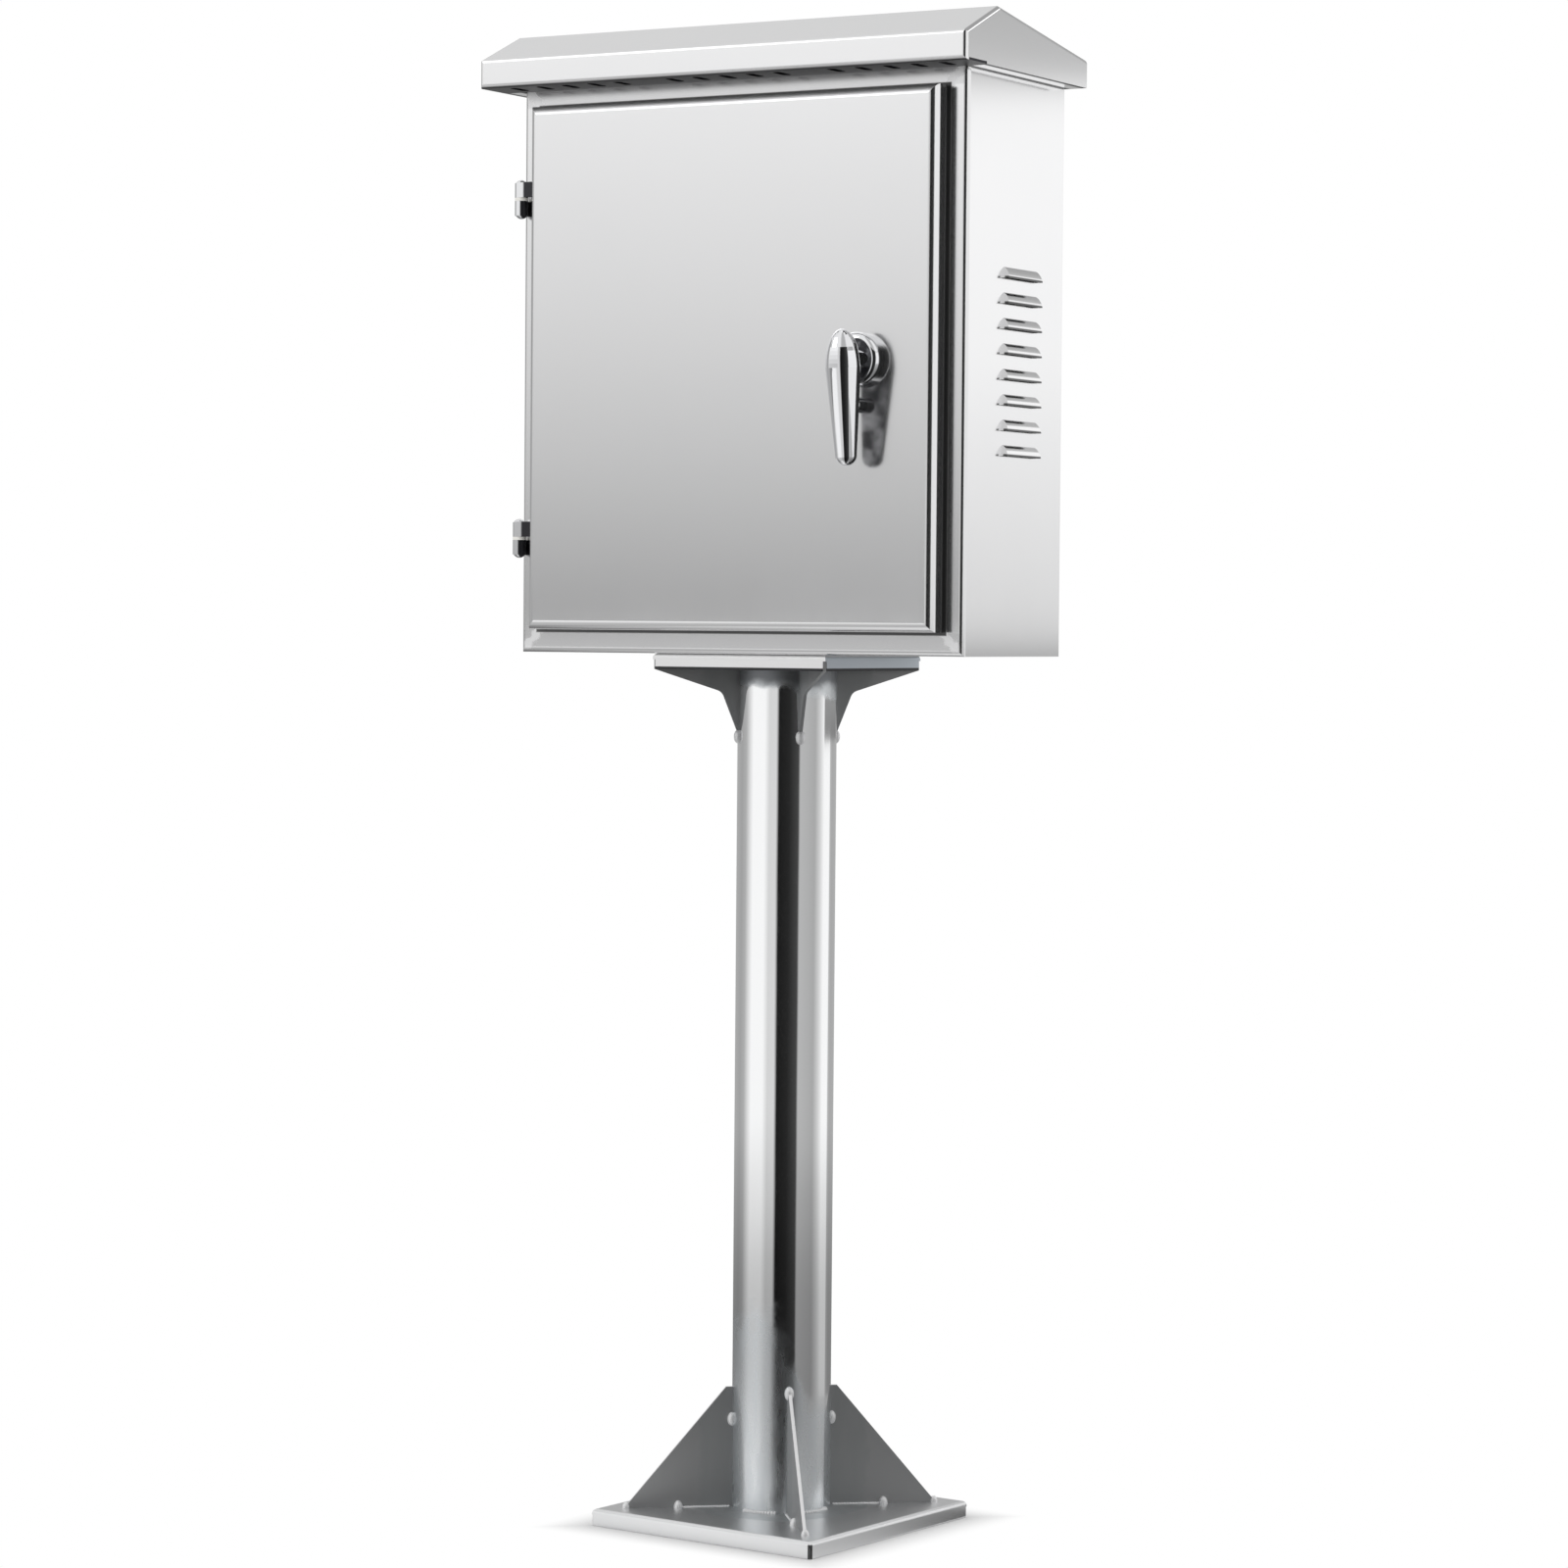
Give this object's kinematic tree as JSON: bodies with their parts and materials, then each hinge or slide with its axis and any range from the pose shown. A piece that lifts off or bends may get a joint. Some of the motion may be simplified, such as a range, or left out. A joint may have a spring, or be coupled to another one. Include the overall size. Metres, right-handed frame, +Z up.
{
  "type": "junction box",
  "caption": "Pole-mounted outdoor junction box: stainless cabinet with rain hood, side louvres, hinged lever-latched door, and a tube stand with gusseted square foot.",
  "frame": {"origin": "on the ground under the middle of the pole", "axes": "+Z up along the pole, -Y out of the door's face, +X to the right when facing the door"},
  "size_m": [0.49, 0.2939, 1.3374],
  "materials": {
    "polished_steel": "polished stainless tube, dull heat marks at the welds",
    "stand_sheet": "bright stainless sheet",
    "gusset_plate": "mill stainless plate",
    "satin_steel": "satin brushed stainless",
    "chrome_trim": "mirror chrome",
    "bright_fasteners": "plain stainless",
    "galvanised": "galvanised sheet",
    "washer_nylon": "white nylon",
    "gasket_rubber": "black foam and rubber",
    "terminal_plastic": "moulded grey-beige",
    "clamp_plastic": "moulded dark grey",
    "post_plastic": "red insulating resin",
    "earth_brass": "plain brass bar"
  },
  "bodies": {
    "stand": {"pole": "polished_steel", "base_pan": "stand_sheet", "top_pan": "stand_sheet", "base_gusset_near": "gusset_plate", "base_gusset_right": "gusset_plate", "base_gusset_rear": "gusset_plate", "base_gusset_left": "gusset_plate", "top_gusset_near": "gusset_plate", "top_gusset_right": "gusset_plate", "top_gusset_rear": "gusset_plate", "top_gusset_left": "gusset_plate", "cabinet": "satin_steel", "back_panel": "satin_steel", "hood": "satin_steel", "upper_hinge_frame_leaf": "chrome_trim", "lower_hinge_frame_leaf": "chrome_trim", "floor_bolts": "bright_fasteners", "floor_washers": "bright_fasteners", "floor_nuts": "bright_fasteners", "plate_studs": "bright_fasteners", "plate_nuts": "bright_fasteners", "rail_screws": "bright_fasteners", "earth_screws": "bright_fasteners", "upper_hinge_pin": "bright_fasteners", "lower_hinge_pin": "bright_fasteners", "mounting_plate": "galvanised", "mounting_rail": "galvanised", "upper_hinge_washer": "washer_nylon", "lower_hinge_washer": "washer_nylon", "cable_grommet": "gasket_rubber", "terminal_blocks": "terminal_plastic", "end_clamps": "clamp_plastic", "earth_posts": "post_plastic", "earth_bar": "earth_brass"},
    "door": {"door": "satin_steel", "door_gasket": "gasket_rubber", "latch_rosette": "chrome_trim", "latch_nut": "bright_fasteners", "lever_rest": "chrome_trim", "upper_hinge_door_leaf": "chrome_trim", "lower_hinge_door_leaf": "chrome_trim"},
    "lever": {"latch_lever": "chrome_trim", "latch_spindle": "bright_fasteners", "latch_cam": "bright_fasteners", "cam_nut": "bright_fasteners"}
  },
  "joints": [
    {"name": "door_hinge", "type": "hinge", "parent": "stand", "child": "door", "pos_m": [-0.221, -0.102, 1.0365], "axis": [0, 0, -1], "range_deg": [0, 130]},
    {"name": "lever_turn", "type": "hinge", "parent": "door", "child": "lever", "pos_m": [0.1345, -0.114, 1.0365], "axis": [0, 1, 0], "range_deg": [0, 90]}
  ]
}
